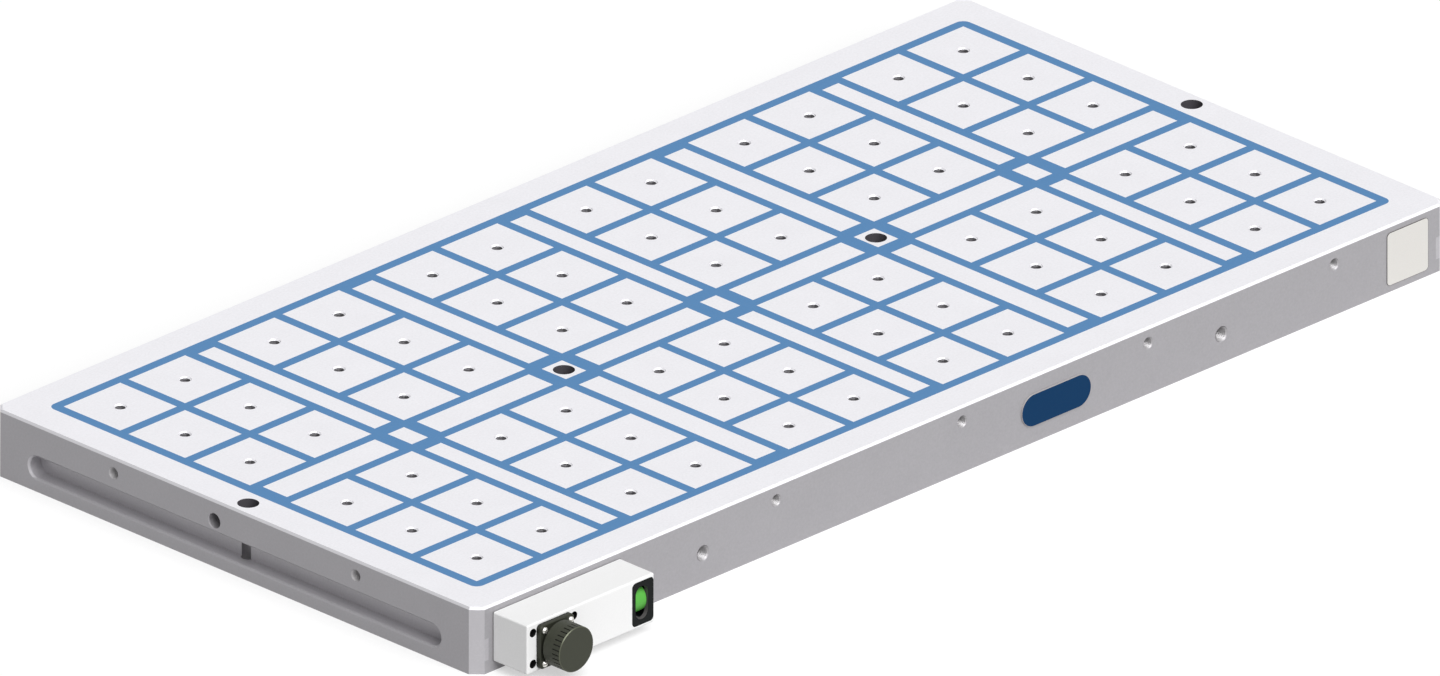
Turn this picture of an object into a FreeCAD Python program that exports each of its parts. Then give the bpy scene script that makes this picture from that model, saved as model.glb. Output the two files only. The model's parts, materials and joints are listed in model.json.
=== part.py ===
import FreeCAD, Part

# Electro-permanent magnetic chuck for a milling table, in millimetres.
#
# A one-piece steel body holds a pocket full of square poles. Each pole stands on a
# switchable magnet with its own coil, has permanent magnets in the gaps around it, and
# is cast in flush with blue resin between neutral steel bars. A box on the long side
# carries the power receptacle with its screwed dust cap, and a drum that shows green or
# red by the chuck's own field. The origin is the centre of the body's underside, X runs
# along the long side, the box is on the -Y side, and Z is up.

import math
import os

# --- pole field ---
POLE_SIDE = 50.25
POLE_GAP = 7.25
POLE_THICKNESS = 19.0
GROUPS_ALONG = 6
GROUP_COLUMNS = 2
GROUP_ROWS = 3
NARROW_BAR = 14.4
WIDE_BAR = 18.0
CENTRE_BAR = 21.5
BAR_INSET = 4.15

# --- body ---
RIM = 24.4
BODY_HEIGHT = 46.0
FLOOR = 12.0
POCKET_CORNER = 6.0
TOP_CHAMFER = 1.4
CORNER_CHAMFER = 7.0

# --- clamping groove in each end ---
GROOVE_HEIGHT = 15.0
GROOVE_BOTTOM = 9.0
GROOVE_DEPTH = 10.5
GROOVE_END_MARGIN = 32.5
GROOVE_CHAMFER = 1.25

# --- tapped and fixing holes, threads drawn at their nominal diameter ---
POLE_THREAD = 8.0
POLE_THREAD_DEPTH = 14.0
POLE_HOLE_CHAMFER = 0.2
STOP_THREAD = 8.0
STOP_THREAD_DEPTH = 14.0
STOP_HOLE_CHAMFER = 0.2
STOP_HOLE_BELOW_TOP = 10.8
STOP_HOLE_PITCH = 165.0
END_STOP_SPACING = 215.0
LIFT_THREAD = 10.0
LIFT_THREAD_DEPTH = 17.0
LIFT_HOLE_CHAMFER = 0.45
LIFT_HOLE_HEIGHT = 20.0
LIFT_HOLE_SPACING = 460.0
EARTH_HOLE_OFFSET = 18.0
EARTH_HOLE_BELOW_TOP = 14.25
FIXING_BORE = 9.0
FIXING_HEAD_BORE = 14.0
FIXING_HEAD_DEPTH = 9.0
END_FIXING_INSET = 12.2

# --- magnets, coils and resin in the pocket ---
CORE_INSET = 6.125
COIL_FIT = 0.25
COIL_OVERHANG = 1.525
COIL_END_GAP = 0.3
SIDE_MAGNET_CLEARANCE = 0.1
SIDE_MAGNET_HEIGHT = 13.5
RESIN_DEPTH = 4.0

# --- connector box ---
BOX_LENGTH = 112.8
BOX_DEPTH = 29.7
BOX_HEIGHT = 34.0
BOX_BOTTOM = 6.9
BOX_END_SETBACK = 14.3
BOX_WALL = 3.0
BOX_EDGE_RADIUS = 1.2
BOX_GASKET = 0.8
BOX_GASKET_WIDTH = 3.0
BOX_SCREW_THREAD = 3.0
BOX_SCREW_HEAD = 5.4
BOX_SCREW_HEAD_HEIGHT = 3.0
BOX_SCREW_HEAD_BORE = 5.8
BOX_SCREW_HEAD_RECESS = 6.0
BOX_SCREW_GRIP = 8.0
BOX_SCREW_SPACING_X = 36.4
BOX_SCREW_SPACING_Z = 21.5
BOX_BOSS = 9.0

# --- power receptacle and its dust cap ---
RECEPTACLE_FROM_BOX_END = 23.3
FLANGE_SIDE = 30.2
FLANGE_THICKNESS = 2.7
FLANGE_CORNER = 3.0
FLANGE_EDGE = 0.6
FLANGE_GASKET = 0.8
FLANGE_HOLE_PITCH = 23.0
FLANGE_SCREW_THREAD = 3.0
FLANGE_SCREW_HEAD = 4.4
FLANGE_SCREW_HEAD_HEIGHT = 1.7
FLANGE_SCREW_LENGTH = 7.0
COLLAR_DIAMETER = 26.0
COLLAR_THICKNESS = 1.0
SHELL_DIAMETER = 22.2
SHELL_WALL = 1.5
SHELL_LENGTH = 12.3
REAR_BARREL = 20.0
REAR_BARREL_LENGTH = 12.0
INSERT_RECESS = 7.0
INSERT_LENGTH = 14.0
PIN_COUNT = 6
PIN_CIRCLE = 11.2
PIN_DIAMETER = 2.0
PIN_FRONT = 5.6
PIN_REAR = 7.0
CAP_DIAMETER = 30.4
CAP_LENGTH = 14.5
CAP_WALL = 3.0
CAP_EDGE = 0.6
CAP_THREAD_CLEARANCE = 0.3
CAP_NOTCHES = 30
CAP_NOTCH_LENGTH = 6.0
CAP_NOTCH_WIDTH = 0.7
CAP_NOTCH_DEPTH = 0.5
CAP_SEAL = 1.5
CAP_SEAL_WIDTH = 2.4
SEAT_GAP = 0.1

# --- state indicator ---
BEZEL_WIDTH = 18.85
BEZEL_HEIGHT = 30.0
BEZEL_THICKNESS = 2.0
BEZEL_CORNER = 3.0
BEZEL_FROM_BOX_END = 10.15
BEZEL_FIT = 0.1
WINDOW_WIDTH = 11.0
WINDOW_HEIGHT = 22.8
WINDOW_OFFSET = 0.9
WINDOW_LIP = 3.0
DRUM_RADIUS = 10.0
DRUM_WIDTH = 10.0
DRUM_RECESS = 1.0
DRUM_BACK_CLEARANCE = 1.0
CHEEK = 1.6
AXLE_DIAMETER = 3.0
AXLE_RUNNING_CLEARANCE = 0.05
AXLE_PRESS_CLEARANCE = 0.01
DRUM_MAGNET_THICKNESS = 3.5
DRUM_MAGNET_HEIGHT = 11.0
DRUM_MAGNET_LENGTH = 8.0
DRUM_MAGNET_OFFSET = 5.0
DRUM_MAGNET_FIT = 0.1

# --- leads from the pocket to the receptacle ---
LEAD_BUNDLE = 7.8
LEAD_INSIDE_POCKET = 4.0
LEAD_BUSH = 11.8
LEAD_BUSH_BORE = 8.0
LEAD_PASSAGE = 12.0

# --- blank plates on the long side ---
BADGE_LENGTH = 61.5
BADGE_HEIGHT = 22.25
BADGE_THICKNESS = 0.8
BADGE_X = 82.9
LABEL_SIDE = 36.5
LABEL_CORNER = 3.0
LABEL_THICKNESS = 0.4
LABEL_FROM_END = 17.6
PLATE_HEIGHT = 22.7

# --- worked out from the sizes above ---
BARS_ALONG = [WIDE_BAR if i % 2 else NARROW_BAR for i in range(GROUPS_ALONG - 1)]
GROUP_LENGTH = GROUP_COLUMNS * POLE_SIDE + (GROUP_COLUMNS - 1) * POLE_GAP
GROUP_WIDTH = GROUP_ROWS * POLE_SIDE + (GROUP_ROWS - 1) * POLE_GAP
FIELD_LENGTH = GROUPS_ALONG * (GROUP_LENGTH + 2 * POLE_GAP) + sum(BARS_ALONG)
FIELD_WIDTH = 2 * (GROUP_WIDTH + 2 * POLE_GAP) + CENTRE_BAR
LENGTH = FIELD_LENGTH + 2 * RIM
WIDTH = FIELD_WIDTH + 2 * RIM
SIDE = -WIDTH / 2
CORE_SIDE = POLE_SIDE - 2 * CORE_INSET
CORE_TOP = BODY_HEIGHT - POLE_THICKNESS
LEAD_HEIGHT = (FLOOR + CORE_TOP) / 2
BOX_BACK = SIDE - BOX_GASKET
BOX_FRONT = BOX_BACK - BOX_DEPTH
BOX_LEFT = -LENGTH / 2 + BOX_END_SETBACK
BOX_RIGHT = BOX_LEFT + BOX_LENGTH
BOX_MIDDLE = BOX_BOTTOM + BOX_HEIGHT / 2
PLUG_X = BOX_LEFT + RECEPTACLE_FROM_BOX_END
FLANGE_BACK = BOX_FRONT - FLANGE_GASKET
FLANGE_FRONT = FLANGE_BACK - FLANGE_THICKNESS
SHELL_FRONT = FLANGE_FRONT - SHELL_LENGTH
CAP_SEAT = SHELL_FRONT - 2 * SEAT_GAP - CAP_SEAL
CAP_FRONT = CAP_SEAT - CAP_WALL
BEZEL_X = BOX_RIGHT - BEZEL_FROM_BOX_END
WINDOW_X = BEZEL_X - WINDOW_OFFSET
DRUM_Y = BOX_FRONT + DRUM_RECESS + DRUM_RADIUS

X_AXIS = FreeCAD.Vector(1, 0, 0)
Y_AXIS = FreeCAD.Vector(0, 1, 0)
Z_AXIS = FreeCAD.Vector(0, 0, 1)


def box(x0, y0, z0, x1, y1, z1):
    """A block between two opposite corners."""
    low = FreeCAD.Vector(min(x0, x1), min(y0, y1), min(z0, z1))
    return Part.makeBox(abs(x1 - x0), abs(y1 - y0), abs(z1 - z0), low)


def centred_block(x, y, size_x, size_y, z0, z1):
    """A block with its plan centre at (x, y), from height z0 to z1."""
    return box(x - size_x / 2, y - size_y / 2, z0, x + size_x / 2, y + size_y / 2, z1)


def rod(x, y, z, diameter, length, axis):
    """A round rod that starts at a point and runs along an axis."""
    return Part.makeCylinder(diameter / 2, length, FreeCAD.Vector(x, y, z), axis)


def upright_edges(shape, axis):
    """The straight edges of a shape that run along an axis."""
    found = []
    for edge in shape.Edges:
        if abs(abs(edge.tangentAt(edge.FirstParameter).dot(axis)) - 1) < 1e-6:
            found.append(edge)
    return found


def rounded_plate(x, z, width, height, corner, front, back):
    """A plate that stands in the XZ plane between two Y values, with round corners."""
    plate = box(x - width / 2, front, z - height / 2, x + width / 2, back, z + height / 2)
    return plate.makeFillet(corner, upright_edges(plate, Y_AXIS))


def obround_plate(x, z, width, height, front, back):
    """A plate in the XZ plane whose two short ends are full half circles."""
    radius = min(width, height) / 2
    reach_x = width / 2 - radius
    reach_z = height / 2 - radius
    thickness = abs(back - front)
    start = min(front, back)
    ends = [
        rod(x + s * reach_x, start, z + s * reach_z, 2 * radius, thickness, Y_AXIS)
        for s in (-1, 1)
    ]
    side_x = reach_x if reach_x > 0 else radius
    side_z = reach_z if reach_z > 0 else radius
    middle = box(x - side_x, front, z - side_z, x + side_x, back, z + side_z)
    return middle.fuse(ends).removeSplitter()


def tapped_hole(x, y, z, thread, depth, chamfer, inward):
    """The cut for a tapped hole whose chamfered mouth lies at a point."""
    mouth = FreeCAD.Vector(x, y, z)
    wall = Part.makeCylinder(thread / 2, depth, mouth, inward)
    return wall.fuse(Part.makeCone(thread / 2 + chamfer, thread / 2, chamfer, mouth, inward))


def ring(x, y, z, outer, inner, length, axis):
    """A round tube that starts at a point and runs along an axis."""
    return rod(x, y, z, outer, length, axis).cut(rod(x, y, z, inner, length, axis))


# --- where the poles and bars stand ---


def columns():
    """X centres of the pole columns, group by group, and of the bars between groups."""
    groups = []
    bars = []
    x = -FIELD_LENGTH / 2
    for g in range(GROUPS_ALONG):
        start = x + POLE_GAP + POLE_SIDE / 2
        groups.append([start + c * (POLE_SIDE + POLE_GAP) for c in range(GROUP_COLUMNS)])
        x += GROUP_LENGTH + 2 * POLE_GAP
        if g < len(BARS_ALONG):
            bars.append(x + BARS_ALONG[g] / 2)
            x += BARS_ALONG[g]
    return groups, bars


def rows(side):
    """Y centres of the pole rows on one side of the centre bar."""
    start = CENTRE_BAR / 2 + POLE_GAP + POLE_SIDE / 2
    return [side * (start + r * (POLE_SIDE + POLE_GAP)) for r in range(GROUP_ROWS)]


GROUP_X, BAR_X = columns()
SIDES = (-1, 1)
POLE_XY = [(x, y) for group in GROUP_X for x in group for s in SIDES for y in rows(s)]
GROUP_Y = [sum(rows(s)) / GROUP_ROWS for s in SIDES]
BORED_BARS = [i for i in range(len(BARS_ALONG)) if i % 2]


def cross_bars():
    """Steel bars between neighbouring groups, on both sides of the centre line."""
    length = GROUP_WIDTH - 2 * BAR_INSET
    return [
        centred_block(x, y, width, length, FLOOR, BODY_HEIGHT)
        for x, width in zip(BAR_X, BARS_ALONG)
        for y in GROUP_Y
    ]


def centre_bars():
    """Steel bars on the centre line, one beside each pair of pole columns."""
    length = GROUP_LENGTH - 2 * BAR_INSET
    return [
        centred_block(sum(group) / len(group), 0, length, CENTRE_BAR, FLOOR, BODY_HEIGHT)
        for group in GROUP_X
    ]


def centre_blocks():
    """Plain steel blocks where a narrow cross bar would meet the centre bars."""
    return [
        centred_block(x, 0, BARS_ALONG[i], CENTRE_BAR, FLOOR, BODY_HEIGHT)
        for i, x in enumerate(BAR_X)
        if i not in BORED_BARS
    ]


def fixing_bore(x, low):
    """The stepped hole for a table screw, open at the top face."""
    head = BODY_HEIGHT - FIXING_HEAD_DEPTH
    shank = rod(x, 0, low, FIXING_BORE, head - low, Z_AXIS)
    return shank.fuse(rod(x, 0, head, FIXING_HEAD_BORE, FIXING_HEAD_DEPTH, Z_AXIS))


def fixing_blocks():
    """The centre blocks that a table screw goes through."""
    return [
        centred_block(BAR_X[i], 0, BARS_ALONG[i], CENTRE_BAR, FLOOR, BODY_HEIGHT).cut(
            fixing_bore(BAR_X[i], FLOOR)
        )
        for i in BORED_BARS
    ]


def pole_shoes():
    """Square poles with a tapped hole each."""
    shoes = []
    for x, y in POLE_XY:
        shoe = centred_block(x, y, POLE_SIDE, POLE_SIDE, CORE_TOP, BODY_HEIGHT)
        hole = tapped_hole(
            x, y, BODY_HEIGHT, POLE_THREAD, POLE_THREAD_DEPTH, POLE_HOLE_CHAMFER, -Z_AXIS
        )
        shoes.append(shoe.cut(hole))
    return shoes


def magnet_cores():
    """The switchable magnet under each pole."""
    return [centred_block(x, y, CORE_SIDE, CORE_SIDE, FLOOR, CORE_TOP) for x, y in POLE_XY]


def coils():
    """The winding around each switchable magnet."""
    low = FLOOR + COIL_END_GAP
    high = CORE_TOP - COIL_END_GAP
    inner = CORE_SIDE + 2 * COIL_FIT
    outer = POLE_SIDE + 2 * COIL_OVERHANG
    windings = []
    for x, y in POLE_XY:
        hollow = centred_block(x, y, inner, inner, low, high)
        windings.append(centred_block(x, y, outer, outer, low, high).cut(hollow))
    return windings


def side_magnets():
    """Permanent magnet slabs in the gaps between the poles and around each group."""
    thickness = POLE_GAP - 2 * SIDE_MAGNET_CLEARANCE
    high = BODY_HEIGHT - RESIN_DEPTH
    low = high - SIDE_MAGNET_HEIGHT
    pitch = POLE_SIDE + POLE_GAP
    slabs = []
    for group in GROUP_X:
        middle = sum(group) / len(group)
        lines = [group[0] - pitch / 2 + c * pitch for c in range(GROUP_COLUMNS + 1)]
        for side, y in zip(SIDES, GROUP_Y):
            for x in lines:
                slabs.append(centred_block(x, y, thickness, GROUP_WIDTH, low, high))
            for end in SIDES:
                edge = y + end * (GROUP_WIDTH + POLE_GAP) / 2
                slabs.append(centred_block(middle, edge, GROUP_LENGTH, thickness, low, high))
            for r in range(GROUP_ROWS - 1):
                between = (rows(side)[r] + rows(side)[r + 1]) / 2
                for x in group:
                    slabs.append(centred_block(x, between, POLE_SIDE, thickness, low, high))
    return slabs


def pocket(low, high):
    """The pocket's space between two heights."""
    space = centred_block(0, 0, FIELD_LENGTH, FIELD_WIDTH, low, high)
    return space.makeFillet(POCKET_CORNER, upright_edges(space, Z_AXIS))


def resin_fill():
    """The cast layer, flush with the top, with an opening for every pole and bar."""
    low = BODY_HEIGHT - RESIN_DEPTH
    openings = [
        centred_block(x, y, POLE_SIDE, POLE_SIDE, low, BODY_HEIGHT) for x, y in POLE_XY
    ]
    for piece in cross_bars() + centre_bars() + centre_blocks():
        openings.append(piece)
    for i in BORED_BARS:
        openings.append(
            centred_block(BAR_X[i], 0, BARS_ALONG[i], CENTRE_BAR, low, BODY_HEIGHT)
        )
    return pocket(low, BODY_HEIGHT).cut(openings)


# --- body ---


def clamping_groove(end):
    """The cut for the table clamps in one end, with round ends and a chamfered edge."""
    face = end * LENGTH / 2
    back = end * (LENGTH / 2 - GROOVE_DEPTH)
    radius = GROOVE_HEIGHT / 2
    middle = GROOVE_BOTTOM + radius
    reach = WIDTH / 2 - GROOVE_END_MARGIN - radius
    start = min(face, back)
    cut = box(face, -reach, GROOVE_BOTTOM, back, reach, GROOVE_BOTTOM + GROOVE_HEIGHT)
    for y in (-reach, reach):
        cut = cut.fuse(rod(start, y, middle, GROOVE_HEIGHT, GROOVE_DEPTH, X_AXIS))
    inner = end * (LENGTH / 2 - GROOVE_CHAMFER)
    outline = [
        obround_wire(inner, middle, reach, radius),
        obround_wire(face, middle, reach, radius + GROOVE_CHAMFER),
    ]
    return cut.fuse(Part.makeLoft(outline, True, True)).removeSplitter()


def obround_wire(x, z, reach, radius):
    """A closed outline in a YZ plane: two straight runs joined by half circles."""
    left_low = FreeCAD.Vector(x, -reach, z - radius)
    left_high = FreeCAD.Vector(x, -reach, z + radius)
    right_low = FreeCAD.Vector(x, reach, z - radius)
    right_high = FreeCAD.Vector(x, reach, z + radius)
    left_tip = FreeCAD.Vector(x, -reach - radius, z)
    right_tip = FreeCAD.Vector(x, reach + radius, z)
    return Part.Wire(
        [
            Part.LineSegment(left_low, right_low).toShape(),
            Part.Arc(right_low, right_tip, right_high).toShape(),
            Part.LineSegment(right_high, left_high).toShape(),
            Part.Arc(left_high, left_tip, left_low).toShape(),
        ]
    )


def stop_hole(x, y, inward):
    """A tapped hole for a workpiece stop, high in a side."""
    z = BODY_HEIGHT - STOP_HOLE_BELOW_TOP
    return tapped_hole(x, y, z, STOP_THREAD, STOP_THREAD_DEPTH, STOP_HOLE_CHAMFER, inward)


def large_hole(x, y, z, inward):
    """A tapped hole for a lifting eye or the earth screw."""
    return tapped_hole(x, y, z, LIFT_THREAD, LIFT_THREAD_DEPTH, LIFT_HOLE_CHAMFER, inward)


def side_holes():
    """Tapped holes in the four sides: stop screws, lifting eyes and the earth screw."""
    holes = []
    for side in SIDES:
        y = side * WIDTH / 2
        inward = Y_AXIS * -side
        for i in range(-2, 3):
            x = i * STOP_HOLE_PITCH
            behind_box = side < 0 and BOX_LEFT < x < BOX_RIGHT
            if not behind_box:
                holes.append(stop_hole(x, y, inward))
        for end in SIDES:
            holes.append(large_hole(end * LIFT_HOLE_SPACING / 2, y, LIFT_HOLE_HEIGHT, inward))
    for end in SIDES:
        x = end * LENGTH / 2
        inward = X_AXIS * -end
        for y in (-END_STOP_SPACING / 2, END_STOP_SPACING / 2):
            holes.append(stop_hole(x, y, inward))
        earth_z = BODY_HEIGHT - EARTH_HOLE_BELOW_TOP
        holes.append(large_hole(x, -end * EARTH_HOLE_OFFSET, earth_z, inward))
    return holes


def box_screw_places():
    """X and Z of the screws that hold the connector box, around the receptacle."""
    return [
        (PLUG_X + sx * BOX_SCREW_SPACING_X / 2, BOX_MIDDLE + sz * BOX_SCREW_SPACING_Z / 2)
        for sx in SIDES
        for sz in SIDES
    ]


def base_body():
    """The one-piece body: pocket, grooves, fixing holes and tapped holes."""
    body = centred_block(0, 0, LENGTH, WIDTH, 0, BODY_HEIGHT)
    body = body.makeChamfer(CORNER_CHAMFER, upright_edges(body, Z_AXIS))
    rim = [e for e in body.Edges if all(abs(v.Z - BODY_HEIGHT) < 1e-6 for v in e.Vertexes)]
    body = body.makeChamfer(TOP_CHAMFER, rim)
    cuts = [pocket(FLOOR, BODY_HEIGHT)]
    cuts += [clamping_groove(end) for end in SIDES]
    cuts += side_holes()
    cuts += [fixing_bore(end * (LENGTH / 2 - END_FIXING_INSET), 0) for end in SIDES]
    cuts += [rod(BAR_X[i], 0, 0, FIXING_BORE, FLOOR, Z_AXIS) for i in BORED_BARS]
    cuts.append(rod(PLUG_X, SIDE, LEAD_HEIGHT, LEAD_PASSAGE, RIM, Y_AXIS))
    for x, z in box_screw_places():
        cuts.append(rod(x, SIDE, z, BOX_SCREW_THREAD, BOX_SCREW_GRIP, Y_AXIS))
    return body.cut(cuts)


# --- connector box ---


def indicator_hole(clearance):
    """The stepped hole that the indicator housing sits in."""
    plate = rounded_plate(
        BEZEL_X,
        BOX_MIDDLE,
        BEZEL_WIDTH + 2 * clearance,
        BEZEL_HEIGHT + 2 * clearance,
        BEZEL_CORNER + clearance,
        BOX_FRONT,
        BOX_FRONT + BEZEL_THICKNESS,
    )
    width = WINDOW_WIDTH + 2 * (CHEEK + clearance)
    height = WINDOW_HEIGHT + 2 * (CHEEK + clearance)
    rear = box(
        WINDOW_X - width / 2,
        BOX_FRONT + BEZEL_THICKNESS,
        BOX_MIDDLE - height / 2,
        WINDOW_X + width / 2,
        DRUM_Y + DRUM_RADIUS + DRUM_BACK_CLEARANCE + CHEEK,
        BOX_MIDDLE + height / 2,
    )
    return plate.fuse(rear).removeSplitter()


def connector_box():
    """The white box: an open-backed shell with a boss around each of its screws."""
    outer = box(BOX_LEFT, BOX_FRONT, BOX_BOTTOM, BOX_RIGHT, BOX_BACK, BOX_BOTTOM + BOX_HEIGHT)
    rounded = [
        e
        for e in outer.Edges
        if not all(abs(v.Y - BOX_BACK) < 1e-6 for v in e.Vertexes)
    ]
    shell = outer.makeFillet(BOX_EDGE_RADIUS, rounded)
    hollow = box(
        BOX_LEFT + BOX_WALL,
        BOX_FRONT + BOX_WALL,
        BOX_BOTTOM + BOX_WALL,
        BOX_RIGHT - BOX_WALL,
        BOX_BACK,
        BOX_BOTTOM + BOX_HEIGHT - BOX_WALL,
    )
    boss_length = BOX_DEPTH - BOX_WALL
    bosses = [
        rod(x, BOX_FRONT + BOX_WALL, z, BOX_BOSS, boss_length, Y_AXIS)
        for x, z in box_screw_places()
    ]
    shell = shell.cut(hollow.cut(bosses))
    cuts = [indicator_hole(BEZEL_FIT)]
    cuts.append(rod(PLUG_X, BOX_FRONT, BOX_MIDDLE, REAR_BARREL + 2 * SEAT_GAP, BOX_WALL, Y_AXIS))
    for x, z in box_screw_places():
        cuts.append(rod(x, BOX_FRONT, z, BOX_SCREW_THREAD + 2 * SEAT_GAP, BOX_DEPTH, Y_AXIS))
        bore_depth = BOX_SCREW_HEAD_RECESS + BOX_SCREW_HEAD_HEIGHT
        cuts.append(rod(x, BOX_FRONT, z, BOX_SCREW_HEAD_BORE, bore_depth, Y_AXIS))
    for x, z in flange_screw_places():
        cuts.append(rod(x, BOX_FRONT, z, FLANGE_SCREW_THREAD, BOX_WALL, Y_AXIS))
    return shell.cut(cuts)


def box_gasket():
    """The flat gasket between the box and the body."""
    top = BOX_BOTTOM + BOX_HEIGHT
    sheet = box(BOX_LEFT, BOX_BACK, BOX_BOTTOM, BOX_RIGHT, SIDE, top)
    window = box(
        BOX_LEFT + BOX_GASKET_WIDTH,
        BOX_BACK,
        BOX_BOTTOM + BOX_GASKET_WIDTH,
        BOX_RIGHT - BOX_GASKET_WIDTH,
        SIDE,
        top - BOX_GASKET_WIDTH,
    )
    tabs = [rod(x, BOX_BACK, z, BOX_BOSS, BOX_GASKET, Y_AXIS) for x, z in box_screw_places()]
    holes = [
        rod(x, BOX_BACK, z, BOX_SCREW_THREAD + 2 * SEAT_GAP, BOX_GASKET, Y_AXIS)
        for x, z in box_screw_places()
    ]
    return sheet.cut(window.cut(tabs)).cut(holes)


def box_screws():
    """Socket screws deep in the box front, screwed into the body."""
    head_front = BOX_FRONT + BOX_SCREW_HEAD_RECESS
    head_back = head_front + BOX_SCREW_HEAD_HEIGHT
    socket = BOX_SCREW_HEAD_HEIGHT / 2
    screws = []
    for x, z in box_screw_places():
        head = rod(x, head_front, z, BOX_SCREW_HEAD, BOX_SCREW_HEAD_HEIGHT, Y_AXIS)
        shank_length = SIDE + BOX_SCREW_GRIP - head_back
        shank = rod(x, head_back, z, BOX_SCREW_THREAD, shank_length, Y_AXIS)
        hexagon = Part.makePolygon(
            [
                FreeCAD.Vector(
                    x + socket * math.cos(math.radians(60 * i)),
                    head_front,
                    z + socket * math.sin(math.radians(60 * i)),
                )
                for i in range(7)
            ]
        )
        drive = Part.Face(hexagon).extrude(Y_AXIS * socket)
        screws.append(head.fuse(shank).cut(drive).removeSplitter())
    return screws


# --- receptacle and dust cap ---


def flange_screw_places():
    """X and Z of the four screws in the receptacle's flange."""
    half = FLANGE_HOLE_PITCH / 2
    return [(PLUG_X + sx * half, BOX_MIDDLE + sz * half) for sx in SIDES for sz in SIDES]


def receptacle():
    """The metal shell: square flange, collar, threaded front and rear barrel."""
    flange = rounded_plate(
        PLUG_X, BOX_MIDDLE, FLANGE_SIDE, FLANGE_SIDE, FLANGE_CORNER, FLANGE_FRONT, FLANGE_BACK
    )
    rim = [e for e in flange.Edges if all(abs(v.Y - FLANGE_FRONT) < 1e-6 for v in e.Vertexes)]
    flange = flange.makeChamfer(FLANGE_EDGE, rim)
    collar_front = FLANGE_FRONT - COLLAR_THICKNESS
    barrel_end = FLANGE_BACK + REAR_BARREL_LENGTH
    shell = flange.fuse(
        [
            rod(PLUG_X, collar_front, BOX_MIDDLE, COLLAR_DIAMETER, COLLAR_THICKNESS, Y_AXIS),
            rod(PLUG_X, SHELL_FRONT, BOX_MIDDLE, SHELL_DIAMETER, SHELL_LENGTH, Y_AXIS),
            rod(PLUG_X, FLANGE_BACK, BOX_MIDDLE, REAR_BARREL, REAR_BARREL_LENGTH, Y_AXIS),
        ]
    )
    bore = SHELL_DIAMETER - 2 * SHELL_WALL
    rear_bore = REAR_BARREL - 2 * SHELL_WALL
    cuts = [
        rod(PLUG_X, SHELL_FRONT, BOX_MIDDLE, bore, SHELL_LENGTH, Y_AXIS),
        rod(PLUG_X, FLANGE_FRONT, BOX_MIDDLE, rear_bore, barrel_end - FLANGE_FRONT, Y_AXIS),
    ]
    for x, z in flange_screw_places():
        cuts.append(
            rod(x, FLANGE_FRONT, z, FLANGE_SCREW_THREAD + 2 * SEAT_GAP, FLANGE_THICKNESS, Y_AXIS)
        )
    return shell.cut(cuts)


def insert_spans():
    """Front, step and back of the insulator along Y."""
    front = SHELL_FRONT + INSERT_RECESS
    return front, FLANGE_FRONT, front + INSERT_LENGTH


def contact_places():
    """X and Z of the contact pins on their circle."""
    radius = PIN_CIRCLE / 2
    turns = [2 * math.pi * i / PIN_COUNT for i in range(PIN_COUNT)]
    return [(PLUG_X + radius * math.cos(a), BOX_MIDDLE + radius * math.sin(a)) for a in turns]


def receptacle_insert():
    """The insulator that holds the contacts, stepped to fit the shell."""
    front, step, back = insert_spans()
    wide = SHELL_DIAMETER - 2 * SHELL_WALL - 2 * SEAT_GAP
    narrow = REAR_BARREL - 2 * SHELL_WALL - 2 * SEAT_GAP
    insert = rod(PLUG_X, front, BOX_MIDDLE, wide, step - front, Y_AXIS).fuse(
        rod(PLUG_X, step, BOX_MIDDLE, narrow, back - step, Y_AXIS)
    )
    holes = [
        rod(x, front, z, PIN_DIAMETER, INSERT_LENGTH, Y_AXIS) for x, z in contact_places()
    ]
    return insert.cut(holes)


def contact_pins():
    """Round contacts that stand out of the insulator at both ends."""
    front = insert_spans()[0] - PIN_FRONT
    length = PIN_FRONT + INSERT_LENGTH + PIN_REAR
    return [rod(x, front, z, PIN_DIAMETER, length, Y_AXIS) for x, z in contact_places()]


def flange_gasket():
    """The square rubber sheet under the flange."""
    sheet = rounded_plate(
        PLUG_X, BOX_MIDDLE, FLANGE_SIDE, FLANGE_SIDE, FLANGE_CORNER, FLANGE_BACK, BOX_FRONT
    )
    bore = REAR_BARREL + 2 * SEAT_GAP
    cuts = [rod(PLUG_X, FLANGE_BACK, BOX_MIDDLE, bore, FLANGE_GASKET, Y_AXIS)]
    for x, z in flange_screw_places():
        hole = FLANGE_SCREW_THREAD + 2 * SEAT_GAP
        cuts.append(rod(x, FLANGE_BACK, z, hole, FLANGE_GASKET, Y_AXIS))
    return sheet.cut(cuts)


def flange_screws():
    """Round-headed slotted screws through the flange into the box front."""
    screws = []
    for x, z in flange_screw_places():
        head_front = FLANGE_FRONT - FLANGE_SCREW_HEAD_HEIGHT
        head = rod(x, head_front, z, FLANGE_SCREW_HEAD, FLANGE_SCREW_HEAD_HEIGHT, Y_AXIS)
        crown = [e for e in head.Edges if abs(e.CenterOfMass.y - head_front) < 1e-6]
        head = head.makeChamfer(FLANGE_SCREW_HEAD_HEIGHT / 2, crown)
        shank = rod(x, FLANGE_FRONT, z, FLANGE_SCREW_THREAD, FLANGE_SCREW_LENGTH, Y_AXIS)
        slot_width = FLANGE_SCREW_HEAD / 7
        slot = box(
            x - FLANGE_SCREW_HEAD,
            head_front,
            z - slot_width / 2,
            x + FLANGE_SCREW_HEAD,
            head_front + FLANGE_SCREW_HEAD_HEIGHT / 2,
            z + slot_width / 2,
        )
        screws.append(head.fuse(shank).cut(slot).removeSplitter())
    return screws


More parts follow.
